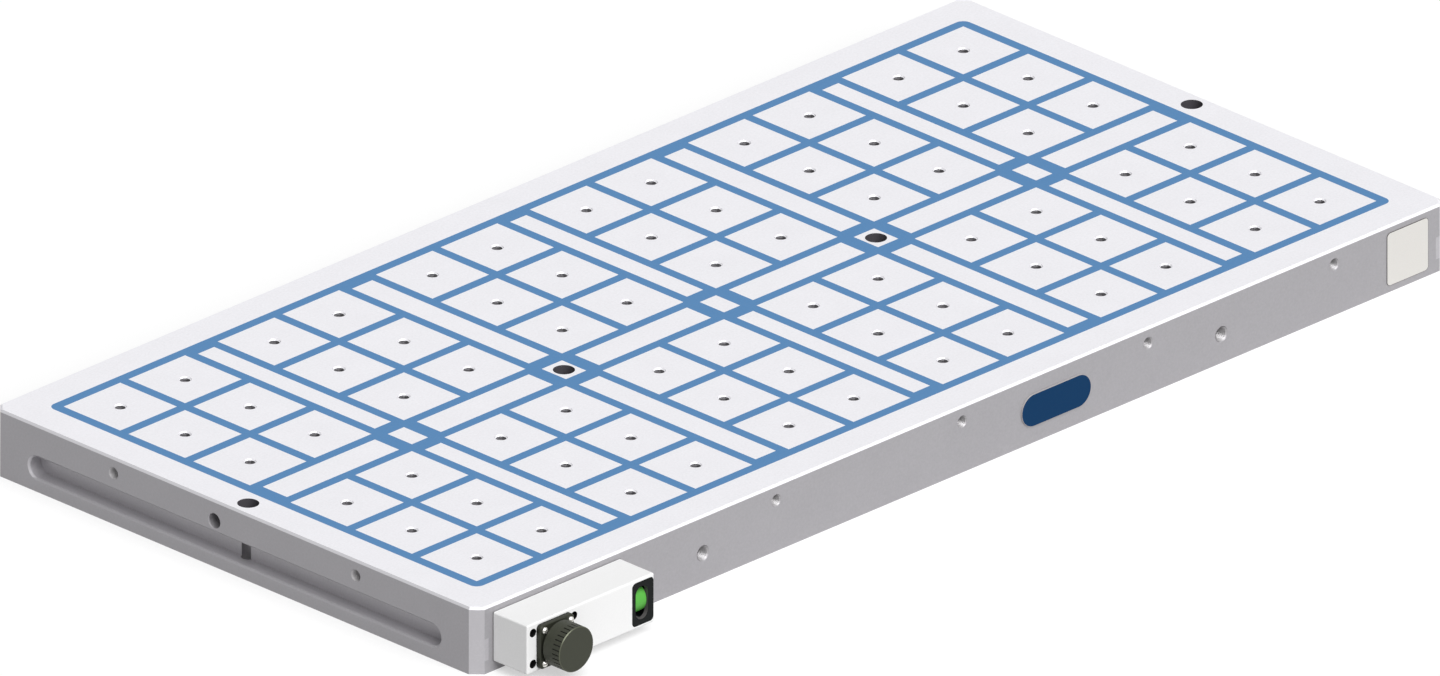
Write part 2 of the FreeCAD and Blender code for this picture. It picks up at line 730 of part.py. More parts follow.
def dust_cap():
    """The screwed cap: a deep skirt with grip notches run back from its chamfered edge."""
    cap = rod(PLUG_X, CAP_FRONT, BOX_MIDDLE, CAP_DIAMETER, CAP_LENGTH, Y_AXIS)
    front = [e for e in cap.Edges if abs(e.CenterOfMass.y - CAP_FRONT) < 1e-6]
    cap = cap.makeChamfer(CAP_EDGE, front)
    bore = SHELL_DIAMETER + 2 * CAP_THREAD_CLEARANCE
    cuts = [rod(PLUG_X, CAP_SEAT, BOX_MIDDLE, bore, CAP_LENGTH, Y_AXIS)]
    notch = box(
        PLUG_X + CAP_DIAMETER / 2 - CAP_NOTCH_DEPTH,
        CAP_FRONT + CAP_EDGE,
        BOX_MIDDLE - CAP_NOTCH_WIDTH / 2,
        PLUG_X + CAP_DIAMETER / 2 + CAP_NOTCH_DEPTH,
        CAP_FRONT + CAP_EDGE + CAP_NOTCH_LENGTH,
        BOX_MIDDLE + CAP_NOTCH_WIDTH / 2,
    )
    centre = FreeCAD.Vector(PLUG_X, CAP_FRONT, BOX_MIDDLE)
    for i in range(CAP_NOTCHES):
        turned = notch.copy()
        turned.rotate(centre, Y_AXIS, 360 * i / CAP_NOTCHES)
        cuts.append(turned)
    return cap.cut(cuts)


def cap_seal():
    """The flat sealing ring between the cap and the end of the shell."""
    start = CAP_SEAT + SEAT_GAP
    inner = SHELL_DIAMETER - 2 * CAP_SEAL_WIDTH
    return ring(PLUG_X, start, BOX_MIDDLE, SHELL_DIAMETER, inner, CAP_SEAL, Y_AXIS)


# --- state indicator ---


def indicator_housing():
    """The black bezel and the chamber behind it that carries the drum's axle."""
    rear = BOX_FRONT + WINDOW_LIP
    chamber = box(
        WINDOW_X - WINDOW_WIDTH / 2,
        rear,
        BOX_MIDDLE - WINDOW_HEIGHT / 2,
        WINDOW_X + WINDOW_WIDTH / 2,
        DRUM_Y + DRUM_RADIUS + DRUM_BACK_CLEARANCE,
        BOX_MIDDLE + WINDOW_HEIGHT / 2,
    )
    window = obround_plate(WINDOW_X, BOX_MIDDLE, WINDOW_WIDTH, WINDOW_HEIGHT, BOX_FRONT, rear)
    axle_hole = rod(
        WINDOW_X - WINDOW_WIDTH / 2 - CHEEK,
        DRUM_Y,
        BOX_MIDDLE,
        AXLE_DIAMETER + 2 * AXLE_PRESS_CLEARANCE,
        WINDOW_WIDTH + 2 * CHEEK,
        X_AXIS,
    )
    return indicator_hole(0).cut([chamber, window, axle_hole])


def drum_magnet_block(fit):
    """The bar magnet in the drum, grown all round by a clearance."""
    far_end = WINDOW_X + DRUM_WIDTH / 2
    thickness = DRUM_MAGNET_THICKNESS + 2 * fit
    height = DRUM_MAGNET_HEIGHT + 2 * fit
    middle = DRUM_Y + DRUM_MAGNET_OFFSET
    return box(
        far_end - DRUM_MAGNET_LENGTH - fit,
        middle - thickness / 2,
        BOX_MIDDLE - height / 2,
        far_end,
        middle + thickness / 2,
        BOX_MIDDLE + height / 2,
    )


def indicator_drum():
    """The two-coloured drum that turns on the axle, bored for it and for its magnet."""
    start = WINDOW_X - DRUM_WIDTH / 2
    drum = rod(start, DRUM_Y, BOX_MIDDLE, 2 * DRUM_RADIUS, DRUM_WIDTH, X_AXIS)
    bore = AXLE_DIAMETER + 2 * AXLE_RUNNING_CLEARANCE
    axle_bore = rod(start, DRUM_Y, BOX_MIDDLE, bore, DRUM_WIDTH, X_AXIS)
    return drum.cut([axle_bore, drum_magnet_block(DRUM_MAGNET_FIT)])


def drum_axle():
    """The steel pin across the chamber."""
    start = WINDOW_X - WINDOW_WIDTH / 2 - CHEEK
    length = WINDOW_WIDTH + 2 * CHEEK
    return rod(start, DRUM_Y, BOX_MIDDLE, AXLE_DIAMETER, length, X_AXIS)


# --- leads and plates ---


def lead_bundle():
    """The leads from the coils, through the body's side to the receptacle's contacts."""
    start = SIDE + RIM + LEAD_INSIDE_POCKET
    pin_end = insert_spans()[2] + PIN_REAR
    return rod(PLUG_X, pin_end, LEAD_HEIGHT, LEAD_BUNDLE, start - pin_end, Y_AXIS)


def lead_bush():
    """The bush that seals the leads in the body's side."""
    return ring(PLUG_X, SIDE, LEAD_HEIGHT, LEAD_BUSH, LEAD_BUSH_BORE, RIM, Y_AXIS)


def badge_plate():
    """The blank obround plate on the long side."""
    return obround_plate(
        BADGE_X, PLATE_HEIGHT, BADGE_LENGTH, BADGE_HEIGHT, SIDE - BADGE_THICKNESS, SIDE
    )


def label_plate():
    """The blank square plate near the end of the long side."""
    x = LENGTH / 2 - LABEL_FROM_END - LABEL_SIDE / 2
    front = SIDE - LABEL_THICKNESS
    return rounded_plate(x, PLATE_HEIGHT, LABEL_SIDE, LABEL_SIDE, LABEL_CORNER, front, SIDE)


NODES = {
    "base_body": base_body,
    "pole_shoes": pole_shoes,
    "magnet_cores": magnet_cores,
    "coils": coils,
    "side_magnets": side_magnets,
    "resin_fill": resin_fill,
    "cross_bars": cross_bars,
    "centre_bars": centre_bars,
    "centre_blocks": centre_blocks,
    "fixing_blocks": fixing_blocks,
    "connector_box": connector_box,
    "box_gasket": box_gasket,
    "box_screws": box_screws,
    "receptacle": receptacle,
    "receptacle_insert": receptacle_insert,
    "contact_pins": contact_pins,
    "flange_gasket": flange_gasket,
    "flange_screws": flange_screws,
    "dust_cap": dust_cap,
    "cap_seal": cap_seal,
    "indicator_housing": indicator_housing,
    "indicator_drum": indicator_drum,
    "drum_magnet": lambda: drum_magnet_block(0),
    "drum_axle": drum_axle,
    "lead_bundle": lead_bundle,
    "lead_bush": lead_bush,
    "badge_plate": badge_plate,
    "label_plate": label_plate,
}

os.makedirs("parts", exist_ok=True)
for name, make in NODES.items():
    made = make()
    shape = Part.makeCompound(made) if isinstance(made, list) else made
    shape.exportStep(f"parts/{name}.step")
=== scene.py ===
import json
import math

import bmesh
import bpy
from bpy.props import FloatProperty, FloatVectorProperty, IntProperty, PointerProperty
from mathutils import Matrix, Vector


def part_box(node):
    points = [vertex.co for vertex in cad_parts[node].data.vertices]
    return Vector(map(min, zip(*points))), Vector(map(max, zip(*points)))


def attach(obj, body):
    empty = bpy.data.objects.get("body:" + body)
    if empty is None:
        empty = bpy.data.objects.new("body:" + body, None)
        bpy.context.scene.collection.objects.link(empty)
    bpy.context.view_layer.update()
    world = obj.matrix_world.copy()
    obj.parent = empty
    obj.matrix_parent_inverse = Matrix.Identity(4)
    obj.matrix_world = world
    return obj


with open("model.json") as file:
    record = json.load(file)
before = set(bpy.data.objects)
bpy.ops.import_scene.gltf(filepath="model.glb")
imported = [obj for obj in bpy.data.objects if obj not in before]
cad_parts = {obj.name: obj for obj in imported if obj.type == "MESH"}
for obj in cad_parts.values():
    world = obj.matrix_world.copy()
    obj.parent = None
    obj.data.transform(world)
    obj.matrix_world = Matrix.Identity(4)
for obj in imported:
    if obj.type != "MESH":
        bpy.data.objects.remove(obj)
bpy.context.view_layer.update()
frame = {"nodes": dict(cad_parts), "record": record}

bl_info = {
    "name": "Magnetic Chuck",
    "version": (1, 0, 0),
    "blender": (4, 5, 0),
    "location": "View3D > Sidebar > Chuck",
    "description": "Dresses an electro-permanent magnetic chuck in its finishes and fine details",
    "category": "Object",
}

MM = 0.001
MOUNTS = {mount["name"]: mount for mount in frame["record"]["mounts"]}
BODY_LOW, BODY_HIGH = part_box("base_body")

# the stage: rays that see the floor and the world as white, and their light
SEEN_BY = ("Is Camera Ray", "Is Glossy Ray", "Is Transmission Ray")
WORLD_LIGHT = 0.36
FLOOR_SHADE = (0.5, 0.5, 0.5)
FLOOR_GLOW = 0.52
FLOOR_REACH = 6.0

# the lamp: its strength, how broad it looks in degrees, and the way towards it
LAMP_ENERGY = 3.1
LAMP_BREADTH = 50
LAMP_TOWARDS = (-0.16, -0.67, 0.72)

# the camera: its angles in degrees, the height that it aims at, and how far off it stands
CAMERA_AZIMUTH = -45
CAMERA_ELEVATION = 25
CAMERA_AIM_HEIGHT = 22.3 * MM
CAMERA_DISTANCE = 3.0

# coarse thread pitches by nominal diameter in millimetres
COARSE_PITCH = {8: 1.25 * MM, 10: 1.5 * MM}
POLE_THREAD = 8

# a thread: its depth in pitches, its gap to the hole's wall, where it starts, and its facets
THREAD_DEPTH = 0.54
THREAD_SKIN = 0.01 * MM
THREAD_START = 0.2 * MM
POLE_THREAD_SIDES = 12
SIDE_THREAD_SIDES = 24

# the clamping groove's walls, where painted light lifts their shade, and the depths of the fixing
# bores' heads and the holes' mouths, below which their walls are painted shade
GROOVE_DEPTH = 10.5 * MM
GROOVE_LOW = 9.0 * MM
GROOVE_HIGH = 24.0 * MM
FIXING_HEAD_DEPTH = 9.0 * MM
POLE_MOUTH_DEPTH = 0.25 * MM

# diameter of the connector box's screw heads
BOX_SCREW_HEAD = 5.4 * MM

# the blank plates' corners and the thin lines round them
LABEL_CORNER = 3.0 * MM
BADGE_LINE = 0.3 * MM
LABEL_LINE = 0.25 * MM

# how far past a face a mask starts, and how far past a bore's wall
SKIN = 0.02 * MM
WALL_MARGIN = 0.05 * MM

# noise scales, per metre: the steel's speckle and patches, fine anodising, and paint
STEEL_SPECKLE = 650.0
STEEL_PATCH = 40.0
FINE_MOTTLE = 1500.0
PAINT_MOTTLE = 900.0
DRUM_MOTTLE = 700.0

# spacing of the windings' layers
WIRE_LAYER = 0.9 * MM

# ground steel's share of metal, and the painted shade that darkens its end bevels beside the top
STEEL_METAL = 0.3
END_BEVEL_SHADE = 0.68

# painted shade on the walls down a bore, down a thread and in a screw's recess
BORE_SHADE = (0.075, 0.07, 0.08, 1.0)
THREAD_SHADE_DARK = (0.1, 0.095, 0.105, 1.0)
THREAD_SHADE_LIGHT = (0.16, 0.155, 0.165, 1.0)
RECESS_SHADE = (0.006, 0.006, 0.006, 1.0)

# colours of the pieces that come in one finish only
SIDE_THREAD_STEEL = (0.42, 0.41, 0.42)
CAST_MAGNET = (0.16, 0.15, 0.14)
PLATED_MAGNET = (0.45, 0.44, 0.42)
SHEATH_RUBBER = (0.02, 0.02, 0.02)
COPPER_WIRE = (0.5, 0.17, 0.05)
GASKET_RUBBER = (0.24, 0.24, 0.245)
BLACK_OXIDE = (0.012, 0.012, 0.013)
INSERT_RUBBER = (0.012, 0.012, 0.012)
SEAL_RUBBER = (0.015, 0.015, 0.015)
CONTACT_GOLD = (0.75, 0.53, 0.22)
BRIGHT_SCREW = (0.78, 0.77, 0.73)
AXLE_STEEL = (0.6, 0.6, 0.6)
WINDOW_BLACK = (0.003, 0.0045, 0.0045)
# painted light on the window's wall
WINDOW_WALL_LIGHT = (0.11, 0.1, 0.105)
BADGE_EDGE = (0.42, 0.4, 0.4)
LABEL_EDGE = (0.12, 0.115, 0.11)

# a Mix node keeps one set of sockets for each data type, and these are the colour ones
MIX_COLOUR = {"Factor": 0, "A": 6, "B": 7}
MIX_RESULT = 2


# --- shader helpers ---


def add_node(tree, kind, settings, inputs):
    """Makes a node, sets it up, and feeds its sockets with values or links."""
    made = tree.nodes.new(kind)
    for key, value in settings.items():
        setattr(made, key, value)
    for key, value in inputs.items():
        socket = made.inputs[key]
        if isinstance(value, Value):
            value = value.socket
        if isinstance(value, bpy.types.NodeSocket):
            tree.links.new(value, socket)
        else:
            socket.default_value = value
    return made


class Value:
    """A number socket of a node tree that takes part in plain arithmetic."""

    def __init__(self, tree, socket):
        self.tree = tree
        self.socket = socket

    def maths(self, operation, *others):
        inputs = dict(enumerate((self, *others)))
        node = add_node(self.tree, "ShaderNodeMath", {"operation": operation}, inputs)
        return Value(self.tree, node.outputs[0])

    def reversed_maths(self, operation, other):
        inputs = {0: other, 1: self}
        node = add_node(self.tree, "ShaderNodeMath", {"operation": operation}, inputs)
        return Value(self.tree, node.outputs[0])

    def __add__(self, other):
        return self.maths("ADD", other)

    def __radd__(self, other):
        return self.reversed_maths("ADD", other)

    def __sub__(self, other):
        return self.maths("SUBTRACT", other)

    def __rsub__(self, other):
        return self.reversed_maths("SUBTRACT", other)

    def __mul__(self, other):
        return self.maths("MULTIPLY", other)

    def __rmul__(self, other):
        return self.reversed_maths("MULTIPLY", other)

    def __truediv__(self, other):
        return self.maths("DIVIDE", other)

    def __gt__(self, other):
        return self.maths("GREATER_THAN", other)

    def __lt__(self, other):
        return self.maths("LESS_THAN", other)

    def absolute(self):
        return self.maths("ABSOLUTE")

    def smooth(self, low, high):
        """0 below low, 1 above high, and an even ramp between them."""
        inputs = {"Value": self, "From Min": low, "From Max": high}
        node = add_node(self.tree, "ShaderNodeMapRange", {"clamp": True}, inputs)
        return Value(self.tree, node.outputs["Result"])


class Finish:
    """A material around one Principled shader, whose arguments are its fixed values."""

    def __init__(self, name, **fixed):
        self.material = bpy.data.materials.new(name)
        self.material.use_nodes = True
        self.tree = self.material.node_tree
        self.tree.nodes.clear()
        values = {key.replace("_", " "): value for key, value in fixed.items()}
        self.shader = self.node("ShaderNodeBsdfPrincipled", {}, values)
        self.node("ShaderNodeOutputMaterial", {}, {"Surface": self.shader.outputs[0]})
        coordinates = self.node("ShaderNodeTexCoord", {}, {})
        self.place = coordinates.outputs["Object"]

    def node(self, kind, settings, inputs):
        """Makes a node in this material."""
        return add_node(self.tree, kind, settings, inputs)

    def axes(self):
        """The object coordinates as three values, in metres."""
        split = self.node("ShaderNodeSeparateXYZ", {}, {"Vector": self.place})
        return [Value(self.tree, output) for output in split.outputs]

    def noise(self, scale, detail=2.0, rough=0.5):
        """Even noise between 0 and 1, with its scale per metre."""
        inputs = {"Vector": self.place, "Scale": scale, "Detail": detail, "Roughness": rough}
        node = self.node("ShaderNodeTexNoise", {"noise_dimensions": "3D"}, inputs)
        return Value(self.tree, node.outputs["Fac"])

    def mix(self, factor, first, second):
        """A colour between two colours or colour sockets."""
        inputs = {"Factor": factor, "A": first, "B": second}
        inputs = {MIX_COLOUR[key]: value for key, value in inputs.items()}
        node = self.node("ShaderNodeMix", {"data_type": "RGBA"}, inputs)
        return node.outputs[MIX_RESULT]

    def feed(self, socket, value):
        """Feeds one of the shader's own sockets."""
        source = value.socket if isinstance(value, Value) else value
        self.tree.links.new(source, self.shader.inputs[socket])

    def bump(self, height, distance, strength=1.0):
        """Relief of so many metres under the shader."""
        inputs = {"Height": height, "Distance": distance, "Strength": strength}
        node = self.node("ShaderNodeBump", {}, inputs)
        self.feed("Normal", node.outputs[0])


def shade(colour, factor):
    """A colour made lighter or darker, with alpha."""
    return (*[min(1.0, part * factor) for part in colour[:3]], 1.0)


def give(node, material):
    """Puts a material on a CAD node in place of the one that came with it."""
    slots = frame["nodes"][node].data.materials
    slots.clear()
    slots.append(material)


# --- mesh helpers ---


def new_piece(name, body, mesh, material):
    """Makes a piece from a bmesh that is already in place, and rides it on a body."""
    bmesh.ops.remove_doubles(mesh, verts=mesh.verts, dist=1e-7)
    bmesh.ops.recalc_face_normals(mesh, faces=mesh.faces)
    data = bpy.data.meshes.new(name)
    mesh.to_mesh(data)
    mesh.free()
    data.materials.append(material)
    piece = bpy.data.objects.new(name, data)
    bpy.context.scene.collection.objects.link(piece)
    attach(piece, body)


def along(axis):
    """The turn that takes +Z to an axis."""
    return Vector((0, 0, 1)).rotation_difference(Vector(axis)).to_matrix().to_4x4()


def add_thread(mesh, mouth, inward, radius, pitch, turns, sides):
    """Adds an internal thread's lead-in and ridges inside a hole of its nominal radius."""
    outer = radius - THREAD_SKIN
    crest = radius - THREAD_DEPTH * pitch
    depth = THREAD_START
    points = [(outer, depth)]
    depth += radius - crest
    points.append((crest, depth))
    for _ in range(turns):
        points.append((outer, depth + pitch / 2))
        depth += pitch
        points.append((crest, depth))
    verts = [mesh.verts.new((reach, 0, along_axis)) for reach, along_axis in points]
    edges = [mesh.edges.new(pair) for pair in zip(verts, verts[1:])]
    known = set(mesh.verts) - set(verts)
    bmesh.ops.spin(
        mesh,
        geom=verts + edges,
        cent=(0, 0, 0),
        axis=(0, 0, 1),
        angle=2 * math.pi,
        steps=sides,
        use_merge=True,
        use_duplicate=False,
    )
    fresh = [vert for vert in mesh.verts if vert not in known]
    place = Matrix.Translation(mouth) @ along(inward)
    bmesh.ops.transform(mesh, matrix=place, verts=fresh)


def fixing_centres():
    """X and Y of the four bores that take the table screws, in a row along the body."""
    names = [name for name in MOUNTS if name.startswith("table_screws")]
    return [(point.x, point.y) for name in names for point in pattern_points(name)]


def box_screw_centres():
    """X and Z of the connector box's four screws, from the corners of their node."""
    low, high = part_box("box_screws")
    head = BOX_SCREW_HEAD / 2
    xs = (low.x + head, high.x - head)
    zs = (low.z + head, high.z - head)
    return [(x, z) for x in xs for z in zs]


def pattern_points(name):
    """The hole centres of one bolt pattern in the record."""
    mount = MOUNTS[name]
    centre = Vector(mount["pos_m"])
    axis = Vector(mount["axis"])
    across = [i for i in range(3) if abs(axis[i]) < 0.5]
    steps = []
    for key, i in zip(("spacing_x_mm", "spacing_y_mm"), across):
        offset = Vector((0, 0, 0))
        offset[i] = mount["dims"].get(key, 0) * MM / 2
        steps.append((-offset, offset) if offset.length else (offset,))
    return [centre + a + b for a in steps[0] for b in steps[1]]


# --- finishes ---


def speckled_tone(finish):
    """A steel's tone between 0 and 1, and the fine speckle that it is made from."""
    speckle = finish.noise(STEEL_SPECKLE, 3.0, 0.65)
    patch = finish.noise(STEEL_PATCH)
    return (speckle * 0.8 + patch * 0.2).smooth(0.3, 0.7), speckle


def ground_steel(name, colour, grain, hole_depth=None, bores=(), bore_radius=0.0):
    """Surface-ground steel: bright, finely speckled, with painted shade down its holes."""
    finish = Finish(name, IOR=1.45)
    tone, speckle = speckled_tone(finish)
    colours = finish.mix(tone, shade(colour, 1 - grain), shade(colour, 1 + grain))
    # painted shade on the walls down the holes: below the mouth depth, or on the fixing bores'
    # walls
    if hole_depth is None:
        dark = bore_mask(finish, bores, bore_radius)
    else:
        dark = finish.axes()[2] < BODY_HIGH.z - hole_depth
    finish.feed("Base Color", finish.mix(dark, colours, BORE_SHADE))
    finish.feed("Metallic", STEEL_METAL - dark * STEEL_METAL)
    finish.feed("Roughness", 0.36 + speckle * 0.12)
    finish.bump(speckle, 0.01 * MM, 0.5)
    return finish.material


def bore_mask(finish, centres, radius):
    """1 on the walls of the fixing bores' heads, where the painted shade goes, and 0 elsewhere."""
    x, y, z = finish.axes()
    mask = x * 0.0
    for cx, cy in centres:
        mask = mask + (distance(x - cx, y - cy) < radius)
    return mask * (z < BODY_HIGH.z - SKIN) * (z > BODY_HIGH.z - FIXING_HEAD_DEPTH - SKIN)


def distance(first, second):
    """The length of a flat vector."""
    return (first * first + second * second).maths("SQRT")


def rounded_reach(first, second, half_first, half_second, radius):
    """How far a point lies out from a rounded rectangle's inner one, at most its radius."""
    over_first = (first.absolute() - (half_first - radius)).maths("MAXIMUM", 0.0)
    over_second = (second.absolute() - (half_second - radius)).maths("MAXIMUM", 0.0)
    return distance(over_first, over_second)


def body_steel(name, bright, side, grain, bevel, corner, bores, bore_radius):
    """The body: ground bright on top, below and on its bevels, with painted shade on its sides,
    its end bevels and down its bores, a painted highlight on its corner bevels and painted light
    in its grooves.
    """
    finish = Finish(name, IOR=1.45)
    tone, speckle = speckled_tone(finish)
    x, y, z = finish.axes()
    # painted shade on the end bevels, darker than the top
    end_bevel_shade = x.absolute() > BODY_HIGH.x - bevel + SKIN
    top = finish.mix(tone, shade(bright, 1 - grain), shade(bright, 1 + grain))
    top = finish.mix(end_bevel_shade, top, shade(bright, END_BEVEL_SHADE))
    # painted shade on the sides: their colour is darker than the top's
    shaded_flank = finish.mix(tone, shade(side, 1 - 1.3 * grain), shade(side, 1 + 1.3 * grain))
    # painted highlight on the four corner bevels, lighter than the sides
    corners = x.absolute() + y.absolute() > BODY_HIGH.x + BODY_HIGH.y - corner - SKIN
    shaded_flank = finish.mix(corners, shaded_flank, finish.mix(tone, shade(side, 1.22), shade(side, 1.3)))
    # painted light in the clamping grooves, lifting them above the sides' tone
    groove = (x.absolute() < BODY_HIGH.x - SKIN) * (z > GROOVE_LOW - SKIN)
    groove = groove * (z < GROOVE_HIGH + SKIN) * (x.absolute() > BODY_HIGH.x - GROOVE_DEPTH - SKIN)
    shaded_flank = finish.mix(groove, shaded_flank, finish.mix(tone, shade(side, 1.2), shade(side, 1.35)))
    ground = (z > BODY_HIGH.z - bevel - SKIN) + (z < SKIN)
    # painted shade down the fixing bores' heads
    bore = bore_mask(finish, bores, bore_radius)
    colours = finish.mix(bore, finish.mix(ground, shaded_flank, top), BORE_SHADE)
    finish.feed("Base Color", colours)
    finish.feed("Metallic", STEEL_METAL - bore * STEEL_METAL)
    finish.feed("Roughness", 0.38 + speckle * 0.14)
    finish.bump(speckle, 0.01 * MM, 0.5)
    return finish.material


def thread_steel(name, colour, top, lead_in):
    """Cut thread under a face: a bright lead-in and painted shade on the turns below it."""
    finish = Finish(name, Metallic=STEEL_METAL)
    mottle = finish.noise(FINE_MOTTLE)
    # painted shade on the thread's turns below the bright lead-in
    deep = (top - finish.axes()[2]).smooth(lead_in, lead_in * 1.6)
    turns = finish.mix(mottle, THREAD_SHADE_DARK, THREAD_SHADE_LIGHT)
    finish.feed("Base Color", finish.mix(deep, shade(colour, 1.0), turns))
    finish.feed("Roughness", 0.36 + mottle * 0.1)
    return finish.material


def plain_finish(name, colour, rough, metal=0.0, grain=0.06, scale=PAINT_MOTTLE, **fixed):
    """A painted, moulded or plated surface with a slight unevenness in tone and gloss."""
    finish = Finish(name, Metallic=metal, **fixed)
    mottle = finish.noise(scale, 3.0, 0.55)
    tone = mottle.smooth(0.25, 0.75)
    finish.feed("Base Color", finish.mix(tone, shade(colour, 1 - grain), shade(colour, 1 + grain)))
    finish.feed("Roughness", (rough - 0.04) + tone * 0.08)
    finish.bump(mottle, 0.01 * MM, 0.6)
    return finish.material


def box_paint(name, colour, screws, radius, front):
    """Powder coat on the box, with painted shade making its screws' recesses black."""
    finish = Finish(name, Specular_IOR_Level=0.3)
    mottle = finish.noise(PAINT_MOTTLE, 3.0, 0.6)
    tone = mottle.smooth(0.3, 0.7)
    paint = finish.mix(tone, shade(colour, 0.98), shade(colour, 1.015))
    x, y, z = finish.axes()
    # painted shade: the walls of the screws' recesses are painted near black
    recess = x * 0.0
    for cx, cz in screws:
        recess = recess + (distance(x - cx, z - cz) < radius)
    recess = recess * (y > front + WALL_MARGIN)
    finish.feed("Base Color", finish.mix(recess, paint, RECESS_SHADE))
    finish.feed("Roughness", 0.42 + tone * 0.08)
    finish.bump(mottle, 0.02 * MM, 0.6)
    return finish.material


def cap_finish(name, colour, centre, radius, front, edge, notch):
    """Olive anodising, with a painted highlight round the cap's front edge and painted shade in
    its notches.
    """
    finish = Finish(name, Specular_IOR_Level=0.25)
    mottle = finish.noise(FINE_MOTTLE, 2.0, 0.55)
    tone = mottle.smooth(0.25, 0.75)
    x, y, z = finish.axes()
    away = distance(x - centre.x, z - centre.z)
    # painted highlight round the cap's front edge, with more metal and gloss there
    rim = away.smooth(radius - edge, radius - edge * 0.8) * (y < front + edge)
    skirt = (away > radius - notch - edge * 0.1) * (y > front + edge)
    # painted shade in the grip notches
    cut = skirt * (away < radius - 2 * WALL_MARGIN)
    plain = finish.mix(tone, shade(colour, 0.92), shade(colour, 1.08))
    highlighted = finish.mix(rim, plain, shade(colour, 2.2))
    finish.feed("Base Color", finish.mix(cut, highlighted, shade(colour, 0.15)))
    finish.feed("Metallic", 0.2 + rim * 0.3)
    finish.feed("Roughness", 0.48 - rim * 0.15 + tone * 0.06)
    finish.bump(mottle, 0.01 * MM, 0.6)
    return finish.material


def window_finish(name, colour, wall, centre, width, height, front):
    """Black moulding round the window, with painted light making the window's own wall greyer."""
    finish = Finish(name, Specular_IOR_Level=0.12)
    mottle = finish.noise(PAINT_MOTTLE)
    x, y, z = finish.axes()
    reach = rounded_reach(x - centre.x, z - centre.z, width / 2, height / 2, width / 2)
    # painted light on the window's own wall, greyer than the moulding's face
    inside = (reach < width / 2 + WALL_MARGIN) * (y > front + 2 * WALL_MARGIN)
    face = finish.mix(mottle, shade(colour, 0.8), shade(colour, 1.2))
    finish.feed("Base Color", finish.mix(inside, face, shade(wall, 1.0)))
    finish.feed("Roughness", 0.3 + mottle * 0.06)
    return finish.material


def edged_plate(name, colour, edge, node, corner, line):
    """A plate with a thin line round it, on full round ends where it has no corner radius."""
    low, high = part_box(node)
    middle = (low + high) / 2
    half = (high - low) / 2
    finish = Finish(name, Specular_IOR_Level=0.08)
    mottle = finish.noise(PAINT_MOTTLE)
    x, y, z = finish.axes()
    radius = corner or half.z
    outline = rounded_reach(x - middle.x, z - middle.z, half.x, half.z, radius) > radius - line
    film = finish.mix(mottle, shade(colour, 0.97), shade(colour, 1.03))
    finish.feed("Base Color", finish.mix(outline, film, shade(edge, 1.0)))
    finish.feed("Roughness", 0.42 + mottle * 0.08)
    return finish.material


def drum_finish(name, on_colour, off_colour, axis_y):
    """One colour on the half that faces the window at rest, the other behind it."""
    finish = Finish(name, Specular_IOR_Level=0.3)
    y = finish.axes()[1]
    mottle = finish.noise(DRUM_MOTTLE)
    halves = finish.mix(y > axis_y, shade(on_colour, 1.0), shade(off_colour, 1.0))
    finish.feed("Base Color", finish.mix(mottle * 0.12, halves, shade(on_colour, 0.2)))
    finish.feed("Roughness", 0.4 + mottle * 0.1)
    return finish.material


def winding_finish(name, colour):
    """Enamelled wire laid in flat turns, with painted shade in the creases between them."""
    finish = Finish(name, Metallic=0.7, IOR=1.5)
    z = finish.axes()[2]
    layer = (z / WIRE_LAYER).maths("PINGPONG", 1.0)
    # painted shade in the creases between the turns, where the layer pattern is low
    finish.feed("Base Color", finish.mix(layer, shade(colour, 0.5), shade(colour, 1.1)))
    finish.feed("Roughness", 0.35 + layer * 0.1)
    finish.bump(layer, 0.2 * MM, 0.7)
    return finish.material


# --- sizes and colours that a user would change ---


